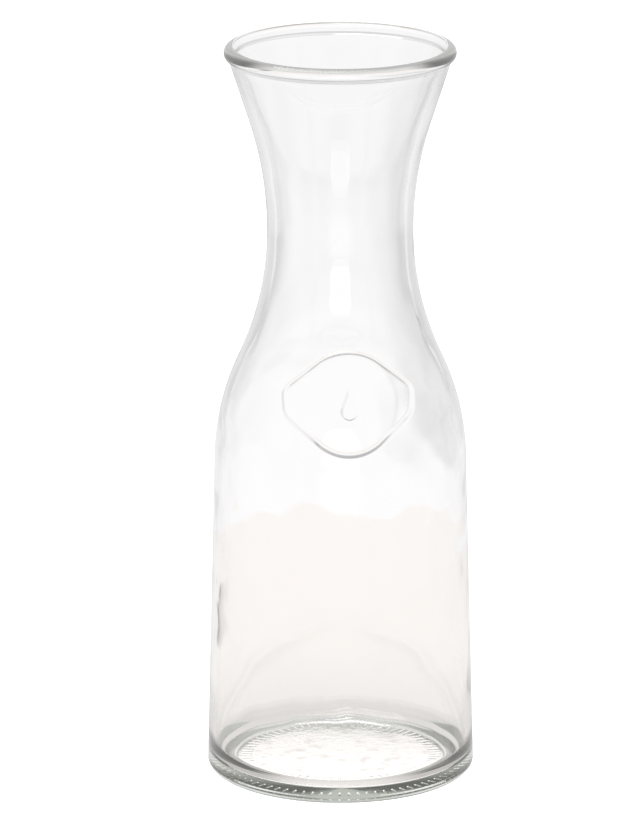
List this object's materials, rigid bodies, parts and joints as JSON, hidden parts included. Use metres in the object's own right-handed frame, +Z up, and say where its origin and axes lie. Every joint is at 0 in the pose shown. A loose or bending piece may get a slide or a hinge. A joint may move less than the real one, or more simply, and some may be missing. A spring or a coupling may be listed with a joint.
{
  "type": "water carafe",
  "caption": "Clear glass water carafe with a beaded, flared rim, a drawn-in neck, round shoulders with a seal in relief on the front, a tapered body and a raised base.",
  "frame": {"origin": "centre of the base, on the plane that the carafe stands on", "axes": "+Z up along the carafe's axis, -Y towards the side with the seal, +X to the right as the seal is looked at"},
  "size_m": [0.094, 0.094, 0.26],
  "materials": {
    "glass": "clear soda-lime glass, fire-polished, with a faint grey-green tint at its edges"
  },
  "bodies": {
    "root": {"rim": "glass", "mouth": "glass", "neck": "glass", "shoulder": "glass", "body": "glass", "heel": "glass", "base": "glass", "seal": "glass"}
  },
  "joints": []
}
